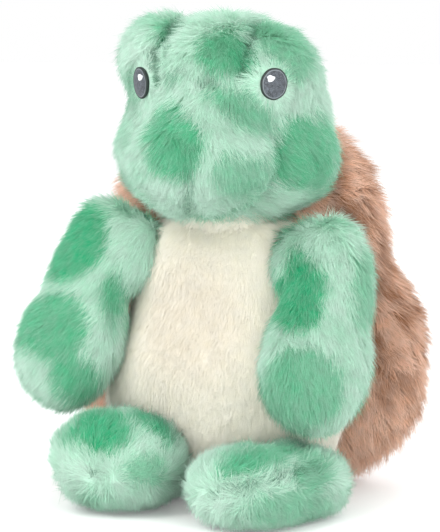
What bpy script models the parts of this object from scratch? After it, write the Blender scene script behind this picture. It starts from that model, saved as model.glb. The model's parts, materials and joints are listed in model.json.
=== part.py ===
"""A plush turtle that sits upright, about 18 cm tall.

Metres, +Z up. The turtle faces -Y, so its left side is +X. The origin is the middle of the
flat seat, on the surface that the turtle sits on.
"""

import math

import bmesh
import bpy
import numpy as np
from mathutils import Matrix, Vector

# Cloth, seams and gaps
PLUSH_THICKNESS = 0.0045
SEAM_GAP = 0.0003
REST_CUT = 0.0005
TRIM = 0.2

# Torso
TORSO_HALF_WIDTH = 0.042
TORSO_HALF_DEPTH = 0.033
TORSO_HALF_HEIGHT = 0.0514
TORSO_SETBACK = -0.004
TORSO_SQUARENESS = 2.4
SEAT_PANEL_HEIGHT = 0.009
SIDE_SEAM_Y = 0.006
POUCH_HEIGHT = 0.018

# Neck
NECK_RADIUS = 0.019
NECK_BELOW_TORSO_TOP = 0.005

# Head
HEAD_HALF_WIDTH = 0.039
HEAD_HALF_DEPTH = 0.036
HEAD_HALF_HEIGHT = 0.0365
HEAD_ABOVE_NECK = 0.0358
HEAD_AHEAD_OF_NECK = 0.003
GUSSET_WIDTH = 0.026
GUSSET_START_ABOVE_CENTRE = -0.006
CHIN_SEAM_BELOW_CENTRE = 0.023
CHIN_BACK_SEAM_AHEAD = 0.012
NOD_BACK_DEG = 4.0
NOD_AHEAD_DEG = 10.0
TURN_DEG = 20.0

# Eyes: flat embroidered ovals where a line from the head's middle meets its skin, each with a glint.
EYE_WAY = (0.70, -0.62, 0.38)
EYE_WIDTH = 0.010
EYE_HEIGHT = 0.011
EYE_RISE = 0.0011
GLINT_WIDTH = 0.0026
GLINT_HEIGHT = 0.0022
GLINT_RISE = 0.0006
GLINT_ASIDE = 0.0017
GLINT_UP = 0.0020

# Shell
SHELL_HALF_WIDTH = 0.065
SHELL_HALF_DEPTH = 0.023
SHELL_HEIGHT = 0.137
SHELL_BEHIND_TORSO_MIDDLE = 0.026
SHELL_RIM_SEAM_AHEAD = 0.004
SHELL_LEAN_DEG = 3.0
SHELL_SQUARENESS = 2.5
ROOM_TO_TURN = 0.0022
ROOM_TO_NOD = 0.0015
HEAD_ROOM_BELOW_HEAD_MIDDLE = 0.010

# Arms: the middle of each lies just outside the torso's side, ahead of its middle, below its top.
ARM_HALF_WIDTH = 0.0175
ARM_HALF_THICKNESS = 0.0125
ARM_HALF_LENGTH = 0.0385
ARM_SQUARENESS = 2.2
ARM_LIFT_DEG = 25.0
LEFT_ARM_OUT = -0.0005
LEFT_ARM_AHEAD = 0.024
LEFT_ARM_BELOW_TORSO_TOP = 0.0365
RIGHT_ARM_OUT = 0.0035
RIGHT_ARM_AHEAD = 0.023
RIGHT_ARM_BELOW_TORSO_TOP = 0.0335
SHOULDER_BELOW_TORSO_TOP = 0.007

# Each arm's directions: down its length, out of its broad face, and the way its end lifts.
ARMS = {
    "left": dict(
        side=1,
        out=LEFT_ARM_OUT,
        ahead=LEFT_ARM_AHEAD,
        below=LEFT_ARM_BELOW_TORSO_TOP,
        down=(-0.03, -0.47, -0.88),
        face=(0.30, -0.85, 0.43),
        lift=(0.85, -0.45, 0.30),
    ),
    "right": dict(
        side=-1,
        out=RIGHT_ARM_OUT,
        ahead=RIGHT_ARM_AHEAD,
        below=RIGHT_ARM_BELOW_TORSO_TOP,
        down=(-0.20, -0.41, -0.89),
        face=(-0.05, -0.90, 0.42),
        lift=(-0.85, -0.45, 0.30),
    ),
}

# Legs: the left one lies flatter and is turned inwards, because the left arm rests on it.
LEFT_LEG_HALF_WIDTH = 0.020
LEFT_LEG_HALF_LENGTH = 0.029
LEFT_LEG_HEIGHT = 0.0255
LEFT_LEG_AHEAD = 0.048
LEFT_LEG_INSIDE = 0.0125
RIGHT_LEG_HALF_WIDTH = 0.0225
RIGHT_LEG_HALF_LENGTH = 0.027
RIGHT_LEG_HEIGHT = 0.032
RIGHT_LEG_AHEAD = 0.038
RIGHT_LEG_INSIDE = 0.017
LEG_SQUARENESS = 2.2
LEG_SPLAY_DEG = 30.0
SOLE_SEAM_HEIGHT = 0.013

LEGS = {
    "left": dict(
        side=1,
        half_width=LEFT_LEG_HALF_WIDTH,
        half_length=LEFT_LEG_HALF_LENGTH,
        height=LEFT_LEG_HEIGHT,
        ahead=LEFT_LEG_AHEAD,
        inside=LEFT_LEG_INSIDE,
        toe_turn_deg=-28.0,
        toe_up_deg=2.0,
    ),
    "right": dict(
        side=-1,
        half_width=RIGHT_LEG_HALF_WIDTH,
        half_length=RIGHT_LEG_HALF_LENGTH,
        height=RIGHT_LEG_HEIGHT,
        ahead=RIGHT_LEG_AHEAD,
        inside=RIGHT_LEG_INSIDE,
        toe_turn_deg=0.0,
        toe_up_deg=9.0,
    ),
}

# Where a leg meets the hip, as shares of its half width and half length.
HIP_OUT_SHARE = 0.85
HIP_BACK_SHARE = 0.6

# Lobes of each soft form: middles and radii, as shares of the form's half sizes.
TORSO_SHARES = [
    ((0, -0.05, -0.28), (1.0, 1.0, 0.74)),
    ((0, 0.05, 0.42), (0.78, 0.80, 0.58)),
]
HEAD_SHARES = [
    ((0, 0.14, 0.02), (0.88, 0.86, 0.84)),
    ((0.42, -0.06, -0.34), (0.58, 0.66, 0.48)),
    ((-0.41, -0.06, -0.32), (0.56, 0.66, 0.50)),
    ((0, -0.76, -0.34), (0.62, 0.54, 0.50)),
    ((0, -0.52, 0.04), (0.50, 0.52, 0.40)),
    ((0, -0.14, 0.40), (0.78, 0.70, 0.46)),
    ((0.50, -0.04, 0.50), (0.38, 0.46, 0.38)),
    ((-0.54, -0.04, 0.60), (0.38, 0.44, 0.38)),
    ((0, 0.05, 0.60), (0.56, 0.66, 0.40)),
    ((0, 0.10, -0.66), (0.62, 0.62, 0.36)),
]
ARM_SHARES = [
    ((0, 0, -0.38), (1.0, 1.0, 0.62)),
    ((0, 0, 0.25), (0.82, 0.90, 0.60)),
    ((0, 0, 0.60), (0.66, 0.85, 0.40)),
    ((0.55, -0.20, 0.58), (0.66, 0.80, 0.34)),
]
LEG_SHARES = [
    ((0, -0.30, 0), (1.0, 0.70, 1.0)),
    ((0, 0.30, 0), (0.88, 0.75, 0.95)),
]
SHELL_SHARES = [
    ((0, 0, -0.32), (1.0, 0.90, 0.68)),
    ((0, 0, 0.20), (0.77, 0.90, 0.78)),
]

# How sharply neighbouring lobes meet, and how far a ray is followed, in half sizes.
SHARPNESS = 5.0
RAY_REACH_SHARE = 2.0
RAY_STEPS = 61
HALVINGS = 24

# Faces round and along the skins, and those of the hollows and fillings inside them.
SKIN_FACES = (22, 14)
LIMB_FACES = (16, 11)
FILLING_FACES = (12, 8)
NECK_FACES = (20, 12)
EYE_FACES = (14, 8)
GLINT_FACES = (8, 6)
SMOOTH_UP_TO_DEG = 40.0

CREAM_COLOUR = (0.86, 0.83, 0.72)
MINT_COLOUR = (0.42, 0.77, 0.60)
PALE_MINT_COLOUR = (0.52, 0.82, 0.68)
GREEN_COLOUR = (0.20, 0.58, 0.38)
TAN_COLOUR = (0.48, 0.28, 0.20)
CHARCOAL_COLOUR = (0.07, 0.08, 0.09)
WHITE_COLOUR = (0.90, 0.90, 0.90)
FIBRE_COLOUR = (0.85, 0.85, 0.82)
POUCH_COLOUR = (0.60, 0.58, 0.52)
CLOTH_ROUGHNESS = 0.9


class Form:
    """A soft form: rounded lobes that swell into each other, seen from its own middle."""

    def __init__(self, half_sizes, lobe_shares, place, squareness=2.0):
        self.half_sizes = np.array(half_sizes)
        self.lobe_shares = lobe_shares
        self.place = place
        self.squareness = squareness

    def swell(self, points, growth):
        """Above 0 inside the form, 0 on its skin, below 0 outside."""
        total = np.full(len(points), -1.0)
        for middle_shares, radius_shares in self.lobe_shares:
            middle = np.array(middle_shares) * self.half_sizes
            radii = np.array(radius_shares) * self.half_sizes + growth
            reach = (np.abs((points - middle) / radii) ** self.squareness).sum(axis=1)
            total += np.exp(SHARPNESS * (1.0 - reach))
        return total

    def skin_points(self, starts, ways, growth):
        """Where rays from the starts leave the form for good."""
        low = np.zeros(len(ways))
        high = np.ones(len(ways))
        found = np.zeros(len(ways), bool)
        for step in np.linspace(1.0, 0.0, RAY_STEPS):
            inside = self.swell(starts + ways * step, growth) > 0
            low[inside & ~found] = step
            found |= inside
            high[~found] = step
        for _ in range(HALVINGS):
            middle = (low + high) / 2
            inside = self.swell(starts + ways * middle[:, None], growth) > 0
            low = np.where(inside, middle, low)
            high = np.where(inside, high, middle)
        return starts + ways * low[:, None]

    def skin(self, faces, growth=0.0):
        """A closed mesh of the form's skin in world places, grown or shrunk by a length."""
        bm = bmesh.new()
        bmesh.ops.create_uvsphere(bm, u_segments=faces[0], v_segments=faces[1], radius=1.0)
        ways = np.array([vert.co for vert in bm.verts]) * self.half_sizes * RAY_REACH_SHARE
        points = self.skin_points(np.zeros_like(ways), ways, growth)
        for vert, point in zip(bm.verts, points):
            vert.co = self.place @ Vector(point)
        return mesh_of(bm)

    def touch(self, start, way):
        """The world point and outward normal where a ray from a world point leaves the form."""
        back = self.place.inverted()
        local_start = np.array([back @ Vector(start)])
        local_way = np.array([back.to_3x3() @ Vector(way)])
        local_way *= self.half_sizes.max() * RAY_REACH_SHARE
        point = self.skin_points(local_start, local_way, 0.0)
        nudges = np.eye(3) * self.half_sizes.min() / RAY_STEPS
        slope = self.swell(point + nudges, 0.0) - self.swell(point - nudges, 0.0)
        normal = (self.place.to_3x3() @ Vector(-slope)).normalized()
        return self.place @ Vector(point[0]), normal


def mesh_of(bm):
    """The shape as a mesh of triangles that face outwards."""
    mesh = bpy.data.meshes.new("shape")
    bm.normal_update()
    bmesh.ops.recalc_face_normals(bm, faces=bm.faces)
    bmesh.ops.triangulate(bm, faces=bm.faces)
    bm.to_mesh(mesh)
    bm.free()
    return mesh


def block(low, high):
    """A box between two corners."""
    bm = bmesh.new()
    bmesh.ops.create_cube(bm, size=1.0)
    for vert in bm.verts:
        shares = [c + 0.5 for c in vert.co]
        vert.co = [a + (b - a) * share for a, b, share in zip(low, high, shares)]
    return mesh_of(bm)


def moved(mesh, matrix):
    copy = mesh.copy()
    copy.transform(matrix)
    return copy


def as_seen_turned(mesh, pivot, axis, degrees):
    """The mesh as seen from a piece that has turned about an axis through the pivot."""
    place = Matrix.Translation(pivot)
    return moved(mesh, place @ Matrix.Rotation(math.radians(-degrees), 4, axis) @ place.inverted())


def oval(half_sizes, place, faces):
    """A closed ellipsoid with its own middle and directions in a matrix."""
    bm = bmesh.new()
    bmesh.ops.create_uvsphere(bm, u_segments=faces[0], v_segments=faces[1], radius=1.0)
    for vert in bm.verts:
        vert.co = place @ Vector([c * half for c, half in zip(vert.co, half_sizes)])
    return mesh_of(bm)


def combined(operation, mesh, others):
    """The mesh after a Boolean with each of the others in turn."""
    subject = bpy.data.objects.new("subject", mesh)
    tools = [bpy.data.objects.new("tool", other) for other in others]
    for obj in [subject, *tools]:
        bpy.context.scene.collection.objects.link(obj)
    for tool in tools:
        modifier = subject.modifiers.new(operation, "BOOLEAN")
        modifier.operation = operation
        modifier.object = tool
    graph = bpy.context.evaluated_depsgraph_get()
    result = bpy.data.meshes.new_from_object(subject.evaluated_get(graph))
    for obj in [subject, *tools]:
        bpy.data.objects.remove(obj)
    return result


def less(mesh, *others):
    return combined("DIFFERENCE", mesh, others)


def within(mesh, *others):
    return combined("INTERSECT", mesh, others)


def cloth(name, colour):
    material = bpy.data.materials.new(name)
    material.use_nodes = True
    shader = material.node_tree.nodes["Principled BSDF"]
    shader.inputs["Base Color"].default_value = (*colour, 1.0)
    shader.inputs["Roughness"].default_value = CLOTH_ROUGHNESS
    shader.inputs["Metallic"].default_value = 0.0
    material.diffuse_color = (*colour, 1.0)
    return material


def piece(name, mesh, colour, pivot):
    """A named solid, smooth but for its cut edges, with its origin on the pivot's empty."""
    mesh = moved(mesh, Matrix.Translation(-pivot.location))
    mesh.name = name
    mesh.shade_smooth()
    mesh.set_sharp_from_angle(angle=math.radians(SMOOTH_UP_TO_DEG))
    mesh.materials.clear()
    mesh.materials.append(cloth(name, colour))
    obj = bpy.data.objects.new(name, mesh)
    obj.parent = pivot
    bpy.context.scene.collection.objects.link(obj)
    return obj


def pivot_at(name, point, parent=None):
    empty = bpy.data.objects.new(name, None)
    empty.empty_display_size = NECK_RADIUS
    empty.location = point
    if parent is not None:
        empty.parent = parent
        empty.matrix_parent_inverse = Matrix.Translation(parent.location).inverted()
    bpy.context.scene.collection.objects.link(empty)
    return empty


def panel(name, skin, space, rooms, colour, pivot):
    """A cloth panel: the skin within one side of its seams, less the rooms of what it meets."""
    piece(name, less(within(skin, space), *rooms), colour, pivot)


def frame_from(width_way, up_way, middle):
    """A matrix whose X is the width, Z the given up way, and Y square to both."""
    up = Vector(up_way).normalized()
    depth = up.cross(Vector(width_way)).normalized()
    width = depth.cross(up)
    return Matrix.Translation(middle) @ Matrix((width, depth, up)).transposed().to_4x4()


def clear_scene():
    for obj in list(bpy.data.objects):
        bpy.data.objects.remove(obj)


clear_scene()

# Torso
torso = Form(
    (TORSO_HALF_WIDTH, TORSO_HALF_DEPTH, TORSO_HALF_HEIGHT),
    TORSO_SHARES,
    Matrix.Translation((0, TORSO_SETBACK, TORSO_HALF_HEIGHT - REST_CUT)),
    TORSO_SQUARENESS,
)
torso_top = 2 * TORSO_HALF_HEIGHT - REST_CUT
neck_point = Vector((0, TORSO_SETBACK, torso_top - NECK_BELOW_TORSO_TOP))
above_floor = block((-TRIM, -TRIM, 0), (TRIM, TRIM, 2 * TRIM))
torso_body = pivot_at("torso_base", (0, 0, 0))
neck_body = pivot_at("neck_pivot", neck_point, torso_body)
head_body = pivot_at("head_pivot", neck_point, neck_body)

neck_place = Matrix.Translation(neck_point)
neck_ball = oval([NECK_RADIUS] * 3, neck_place, NECK_FACES)
neck_room = oval([NECK_RADIUS + SEAM_GAP] * 3, neck_place, NECK_FACES)
torso_clearance = torso.skin(SKIN_FACES, SEAM_GAP)

torso_skin = torso.skin(SKIN_FACES)
torso_rooms = [neck_room, torso.skin(FILLING_FACES, -PLUSH_THICKNESS)]
seat_top = SEAT_PANEL_HEIGHT + SEAM_GAP
belly_space = block((-TRIM, -TRIM, seat_top), (TRIM, SIDE_SEAM_Y, TRIM))
back_space = block((-TRIM, SIDE_SEAM_Y + SEAM_GAP, seat_top), (TRIM, TRIM, TRIM))
seat_space = block((-TRIM, -TRIM, 0), (TRIM, TRIM, SEAT_PANEL_HEIGHT))
panel("belly_panel", torso_skin, belly_space, torso_rooms, CREAM_COLOUR, torso_body)
panel("back_panel", torso_skin, back_space, torso_rooms, CREAM_COLOUR, torso_body)
panel("seat_panel", torso_skin, seat_space, torso_rooms, CREAM_COLOUR, torso_body)

torso_core = torso.skin(FILLING_FACES, -PLUSH_THICKNESS - SEAM_GAP)
pouch_space = block((-TRIM, -TRIM, -TRIM), (TRIM, TRIM, POUCH_HEIGHT))
stuffing_space = block((-TRIM, -TRIM, POUCH_HEIGHT + SEAM_GAP), (TRIM, TRIM, TRIM))
panel("torso_stuffing", torso_core, stuffing_space, [neck_room], FIBRE_COLOUR, torso_body)
piece("pellet_pouch", within(torso_core, pouch_space), POUCH_COLOUR, torso_body)
piece("neck_stuffing", neck_ball, FIBRE_COLOUR, neck_body)

# Head
head_middle = neck_point + Vector((0, -HEAD_AHEAD_OF_NECK, HEAD_ABOVE_NECK))
head = Form(
    (HEAD_HALF_WIDTH, HEAD_HALF_DEPTH, HEAD_HALF_HEIGHT),
    HEAD_SHARES,
    Matrix.Translation(head_middle),
)
head_skin = head.skin(SKIN_FACES)
head_hollow = head.skin(FILLING_FACES, -PLUSH_THICKNESS)
neck_rooms = [neck_room]
for nod in (-NOD_BACK_DEG, NOD_AHEAD_DEG):
    neck_rooms.append(as_seen_turned(torso_clearance, neck_point, "X", nod))
half_gusset = GUSSET_WIDTH / 2
gusset_bottom = head_middle.z + GUSSET_START_ABOVE_CENTRE
chin_top = head_middle.z - CHIN_SEAM_BELOW_CENTRE
chin_back = head_middle.y - CHIN_BACK_SEAM_AHEAD
gusset_space = block((-half_gusset, -TRIM, gusset_bottom), (half_gusset, TRIM, TRIM))
gusset_room = block(
    (-half_gusset - SEAM_GAP, -TRIM, gusset_bottom - SEAM_GAP),
    (half_gusset + SEAM_GAP, TRIM, TRIM),
)
chin_space = block((-TRIM, -TRIM, 0), (TRIM, chin_back, chin_top))
chin_room = block((-TRIM, -TRIM, 0), (TRIM, chin_back + SEAM_GAP, chin_top + SEAM_GAP))
left_space = block((SEAM_GAP / 2, -TRIM, 0), (TRIM, TRIM, TRIM))
right_space = block((-TRIM, -TRIM, 0), (-SEAM_GAP / 2, TRIM, TRIM))
side_rooms = [head_hollow, gusset_room, chin_room, *neck_rooms]
panel("head_gusset", head_skin, gusset_space, [head_hollow], GREEN_COLOUR, head_body)
panel("chin_panel", head_skin, chin_space, [head_hollow, *neck_rooms], PALE_MINT_COLOUR, head_body)
panel("head_left_panel", head_skin, left_space, side_rooms, MINT_COLOUR, head_body)
panel("head_right_panel", head_skin, right_space, side_rooms, MINT_COLOUR, head_body)
head_core = head.skin(FILLING_FACES, -PLUSH_THICKNESS - SEAM_GAP)
piece("head_stuffing", less(head_core, *neck_rooms), FIBRE_COLOUR, head_body)

# Eyes
head_clearance = head.skin(SKIN_FACES, SEAM_GAP)


def head_turned(turn, nod):
    """The head's clearance, nodded and then turned."""
    nodded = as_seen_turned(head_clearance, neck_point, "X", -nod)
    return as_seen_turned(nodded, neck_point, "Z", -turn)


def add_eye(side_name, side):
    point, normal = head.touch(head_middle, Vector((side * EYE_WAY[0], *EYE_WAY[1:])).normalized())
    across = Vector((0, 0, 1)).cross(normal).normalized()
    up = normal.cross(across)
    turn = Matrix((across, up, normal)).transposed().to_4x4()
    place = Matrix.Translation(point) @ turn
    halves = (EYE_WIDTH / 2, EYE_HEIGHT / 2, EYE_RISE)
    eye = oval(halves, place, EYE_FACES)
    piece(side_name + "_eye", less(eye, head_clearance), CHARCOAL_COLOUR, head_body)
    top = place @ Matrix.Translation((-side * GLINT_ASIDE, GLINT_UP, EYE_RISE))
    glint = oval((GLINT_WIDTH / 2, GLINT_HEIGHT / 2, GLINT_RISE), top, GLINT_FACES)
    eye_room = oval([half + SEAM_GAP for half in halves], place, EYE_FACES)
    piece(side_name + "_eye_glint", less(glint, eye_room), WHITE_COLOUR, head_body)


add_eye("left", 1)
add_eye("right", -1)

# Shell
shell_half_height = (SHELL_HEIGHT + REST_CUT) / 2
shell_y = TORSO_SETBACK + SHELL_BEHIND_TORSO_MIDDLE
shell_lean = Matrix.Rotation(math.radians(SHELL_LEAN_DEG), 4, "X")
shell_place = Matrix.Translation((0, shell_y, shell_half_height - REST_CUT)) @ shell_lean
shell = Form(
    (SHELL_HALF_WIDTH, SHELL_HALF_DEPTH, shell_half_height),
    SHELL_SHARES,
    shell_place,
    SHELL_SQUARENESS,
)
head_room_middle = Vector((0, neck_point.y, head_middle.z - HEAD_ROOM_BELOW_HEAD_MIDDLE))
head_room_radius = HEAD_HALF_WIDTH + ROOM_TO_TURN
head_room_sizes = (head_room_radius, head_room_radius, HEAD_HALF_HEIGHT + ROOM_TO_NOD)
head_room = oval(head_room_sizes, Matrix.Translation(head_room_middle), SKIN_FACES)
shell_skin = within(shell.skin(SKIN_FACES), above_floor)
head_rooms = [head_room, head_turned(0.0, -NOD_BACK_DEG)]
shell_rooms = [shell.skin(FILLING_FACES, -PLUSH_THICKNESS), torso_clearance, *head_rooms]
rim_plane = shell_place @ Matrix.Translation((0, -SHELL_RIM_SEAM_AHEAD, 0))
top_space = moved(block((-TRIM, SEAM_GAP, -TRIM), (TRIM, TRIM, TRIM)), rim_plane)
lining_space = moved(block((-TRIM, -TRIM, -TRIM), (TRIM, 0, TRIM)), rim_plane)
panel("shell_top_panel", shell_skin, top_space, shell_rooms, TAN_COLOUR, torso_body)
panel("shell_lining_panel", shell_skin, lining_space, shell_rooms, TAN_COLOUR, torso_body)
shell_core = shell.skin(FILLING_FACES, -PLUSH_THICKNESS - SEAM_GAP)
panel("shell_padding", shell_core, above_floor, [torso_clearance, *head_rooms], FIBRE_COLOUR, torso_body)
shell_clearance = within(shell.skin(SKIN_FACES, SEAM_GAP), above_floor)


# Arms and legs
def add_limb(names, form, neighbours, seam_place, body):
    """Two panels, one on each side of the seam plane that Y crosses, and the stuffing inside."""
    skin = form.skin(LIMB_FACES)
    rooms = [form.skin(FILLING_FACES, -PLUSH_THICKNESS), *neighbours]
    sides = (
        ((-TRIM, SEAM_GAP / 2, -TRIM), (TRIM, TRIM, TRIM)),
        ((-TRIM, -TRIM, -TRIM), (TRIM, -SEAM_GAP / 2, TRIM)),
    )
    for name, (low, high), colour in zip(names, sides, (GREEN_COLOUR, MINT_COLOUR)):
        panel(name, within(skin, above_floor), moved(block(low, high), seam_place), rooms, colour, body)
    core = form.skin(FILLING_FACES, -PLUSH_THICKNESS - SEAM_GAP)
    panel(names[-1], core, above_floor, neighbours, FIBRE_COLOUR, body)


def square_to(way, axis):
    """The part of a way that is square to an axis."""
    return (way - axis * way.dot(axis)).normalized()


def add_arm(side_name):
    sizes = ARMS[side_name]
    down = Vector(sizes["down"]).normalized()
    face = square_to(Vector(sizes["face"]), down)
    aside = sizes["side"] * (TORSO_HALF_WIDTH + sizes["out"])
    middle = Vector((aside, TORSO_SETBACK - sizes["ahead"], torso_top - sizes["below"]))
    place = frame_from(face.cross(-down), -down, middle)
    half_sizes = (ARM_HALF_WIDTH, ARM_HALF_THICKNESS, ARM_HALF_LENGTH)
    lobe_shares = [((sizes["side"] * x, y, z), radii) for (x, y, z), radii in ARM_SHARES]
    arm = Form(half_sizes, lobe_shares, place, ARM_SQUARENESS)
    start = Vector((0, TORSO_SETBACK, torso_top - SHOULDER_BELOW_TORSO_TOP))
    top = middle - down * ARM_HALF_LENGTH
    shoulder, _ = torso.touch(start, Vector((top.x - start.x, top.y - start.y, 0)).normalized())
    body = pivot_at(side_name + "_shoulder", shoulder, torso_body)
    axis = down.cross(square_to(Vector(sizes["lift"]), down))
    head_ahead = head_turned(sizes["side"] * TURN_DEG, NOD_AHEAD_DEG)
    neighbours = [shell_clearance, *leg_clearances]
    for lift in (0.0, ARM_LIFT_DEG / 2, ARM_LIFT_DEG):
        for neighbour in (torso_clearance, head_clearance, head_ahead):
            neighbours.append(as_seen_turned(neighbour, shoulder, axis, lift))
    stem = side_name + "_arm_"
    names = (stem + "outer_panel", stem + "inner_panel", stem + "stuffing")
    add_limb(names, arm, neighbours, place, body)


def add_leg(side_name):
    sizes = LEGS[side_name]
    side = sizes["side"]
    half_sizes = (sizes["half_width"], sizes["half_length"], (sizes["height"] + REST_CUT) / 2)
    turn = Matrix.Rotation(math.radians(sizes["toe_turn_deg"]), 4, "Z")
    tilt = Matrix.Rotation(math.radians(-sizes["toe_up_deg"]), 4, "X")
    leg = Form(half_sizes, LEG_SHARES, turn @ tilt, LEG_SQUARENESS)
    lowest = min(vert.co.z for vert in leg.skin(LIMB_FACES).vertices)
    aside = side * (TORSO_HALF_WIDTH - sizes["inside"])
    middle = Vector((aside, TORSO_SETBACK - sizes["ahead"], -REST_CUT - lowest))
    leg.place = Matrix.Translation(middle) @ turn @ tilt
    hip_shares = (side * HIP_OUT_SHARE, HIP_BACK_SHARE, 0)
    outer_rear = leg.place @ Vector([share * half for share, half in zip(hip_shares, half_sizes)])
    start = Vector((0, TORSO_SETBACK, middle.z))
    hip, _ = torso.touch(start, (outer_rear - start).normalized())
    body = pivot_at(side_name + "_hip", (hip.x, hip.y, 0), torso_body)
    neighbours = [
        as_seen_turned(torso_clearance, hip, "Z", side * splay)
        for splay in (0.0, LEG_SPLAY_DEG / 2, LEG_SPLAY_DEG)
    ]
    seam = Matrix.Translation((0, 0, SOLE_SEAM_HEIGHT)) @ Matrix.Rotation(math.radians(90), 4, "X")
    stem = side_name + "_leg_"
    names = (stem + "upper_panel", stem + "sole_panel", stem + "stuffing")
    add_limb(names, leg, neighbours, seam, body)
    return leg.skin(LIMB_FACES, SEAM_GAP)


leg_clearances = [add_leg("left"), add_leg("right")]
add_arm("left")
add_arm("right")
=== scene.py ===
"""Looks of the plush turtle: cloth panels with their pile, embroidered eyes, light and camera."""

import json
import math

import bmesh
import bpy
import numpy as np
from mathutils import Matrix, Vector


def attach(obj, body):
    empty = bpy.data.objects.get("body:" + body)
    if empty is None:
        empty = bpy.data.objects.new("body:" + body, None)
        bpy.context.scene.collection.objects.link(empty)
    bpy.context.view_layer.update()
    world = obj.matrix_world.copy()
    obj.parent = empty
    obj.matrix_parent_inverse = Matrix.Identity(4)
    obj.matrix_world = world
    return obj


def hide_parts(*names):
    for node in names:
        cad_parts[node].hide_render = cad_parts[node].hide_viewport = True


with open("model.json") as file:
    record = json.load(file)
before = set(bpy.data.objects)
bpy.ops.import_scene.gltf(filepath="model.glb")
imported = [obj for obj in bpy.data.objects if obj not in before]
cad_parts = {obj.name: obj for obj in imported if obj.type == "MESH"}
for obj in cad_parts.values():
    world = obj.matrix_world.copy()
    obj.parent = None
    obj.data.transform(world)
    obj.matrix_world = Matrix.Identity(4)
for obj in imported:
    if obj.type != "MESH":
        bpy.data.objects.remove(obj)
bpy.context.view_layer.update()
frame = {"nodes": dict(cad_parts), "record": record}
SHARE = 1.0
WIDER = 1.0

# Metres: how deep the cloth lies under a form's skin, how deep it may sink in a crease, so that it
# stays above the stuffing, and how far it reaches past a neighbour's skin where that presses it.
CLOTH_DEPTH, DEEPEST, PRESSED_INTO = 0.0012, 0.0036, 0.0008
SHEET_THICKNESS = 0.0010
LOWEST_CLOTH, LOWEST_PILE = 0.0009, 0.0004
# Skin drawn back by these shares of its way from the middle is slightly and fully pressed.
PRESS_STARTS, PRESS_FULL = 0.005, 0.06

# How finely a line is searched for a form's skin: steps, then halvings of the step found.
SKIN_STEPS, SKIN_HALVINGS = 61, 20
MEETING_STEPS, MEETING_HALVINGS = 46, 12
# A slope is measured over the smallest half size divided by this.
SLOPE_PARTS = 61

# The soft forms, as part.py has them: half sizes, lobes as shares of them, places, squareness.
NECK_POINT = Vector((0, -0.004, 0.0973))
HEAD_MIDDLE = NECK_POINT + Vector((0, -0.003, 0.0358))
SHARPNESS = 5.0
LIMB_SQUARENESS = 2.2
ARM_HALF_SIZES = (0.0175, 0.0125, 0.0385)
ARM_DIRECTIONS = {
    1: ((-0.03, -0.47, -0.88), (0.30, -0.85, 0.43), (0.0415, -0.028, 0.0658)),
    -1: ((-0.20, -0.41, -0.89), (-0.05, -0.90, 0.42), (-0.0455, -0.027, 0.0688)),
}
LEG_PLACES = {
    1: ((0.020, 0.029, 0.013), (0.0295, -0.052), -28.0, 2.0),
    -1: ((0.0225, 0.027, 0.01625), (-0.025, -0.042), 0.0, 9.0),
}
FOOT_BELOW_FLOOR = 0.0005
SIDES = ((1, "left"), (-1, "right"))


def unit(vectors):
    return vectors / np.maximum(np.linalg.norm(vectors, axis=-1, keepdims=True), 1e-12)


def smooth(value, low, high):
    """0 below low, 1 above high, with a soft step between; low may be above high."""
    share = np.clip((value - low) / (high - low), 0.0, 1.0)
    return share * share * (3.0 - 2.0 * share)


RIPPLE_WAVES, RIPPLE_REACH = 7, 2.6


def ripple(points, size, seed):
    """Smooth noise of about -1 to 1 whose bumps are of a size in metres."""
    rng = np.random.default_rng(seed)
    total = np.zeros(len(points))
    for _ in range(RIPPLE_WAVES):
        wave = unit(rng.normal(size=3)) * 2 * math.pi / size * rng.uniform(0.6, 1.6)
        total += np.sin(points @ wave + rng.uniform(0, 2 * math.pi))
    return total / RIPPLE_REACH


class Form:
    """A soft form: rounded lobes that swell into each other, seen from its own middle."""

    def __init__(self, half_sizes, lobes, place, squareness=2.0):
        self.half_sizes = np.array(half_sizes)
        self.lobes = lobes
        self.place = place
        self.squareness = squareness
        self.turn = np.array(place.to_3x3())
        self.middle = np.array(place.translation)

    def local(self, points):
        return (points - self.middle) @ self.turn

    def world(self, points):
        return points @ self.turn.T + self.middle

    def swell(self, points, growth=0.0):
        """Above 0 inside the form, 0 on its skin, below 0 outside; points are its own."""
        total = np.full(len(points), -1.0)
        for middle, radii in self.lobes:
            away = points - np.array(middle) * self.half_sizes
            away /= np.array(radii) * self.half_sizes + growth
            reach = (np.abs(away) ** self.squareness).sum(axis=1)
            total += np.exp(np.clip(SHARPNESS * (1.0 - reach), -50, 50))
        return total

    def holds(self, points, growth=0.0):
        """Which world points lie inside the form."""
        return self.swell(self.local(points), growth) > 0

    def skin(self, ways):
        """Where rays from the middle, given in its own directions, leave the form for good."""
        low, high = np.zeros(len(ways)), np.ones(len(ways))
        found = np.zeros(len(ways), bool)
        for step in np.linspace(1.0, 0.0, SKIN_STEPS):
            inside = self.swell(ways * step) > 0
            low[inside & ~found] = step
            found |= inside
            high[~found] = step
        for _ in range(SKIN_HALVINGS):
            middle = (low + high) / 2
            inside = self.swell(ways * middle[:, None]) > 0
            low = np.where(inside, middle, low)
            high = np.where(inside, high, middle)
        return self.world(ways * low[:, None])

    def net(self, around, along):
        """Points all over the skin, and the triangles that join them."""
        ways, faces = sphere_ways(around, along)
        return self.skin(ways * self.half_sizes * 2), faces

    def touch(self, way):
        """The point and outward normal where a world direction from the middle leaves the form."""
        local = unit(np.array([way], float)) @ self.turn * self.half_sizes.max() * 2
        point = self.skin(local)
        nudges = np.eye(3) * self.half_sizes.min() / SLOPE_PARTS
        at = self.local(point)
        slope = self.swell(at - nudges) - self.swell(at + nudges)
        return point[0], unit(slope @ self.turn.T)


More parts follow.
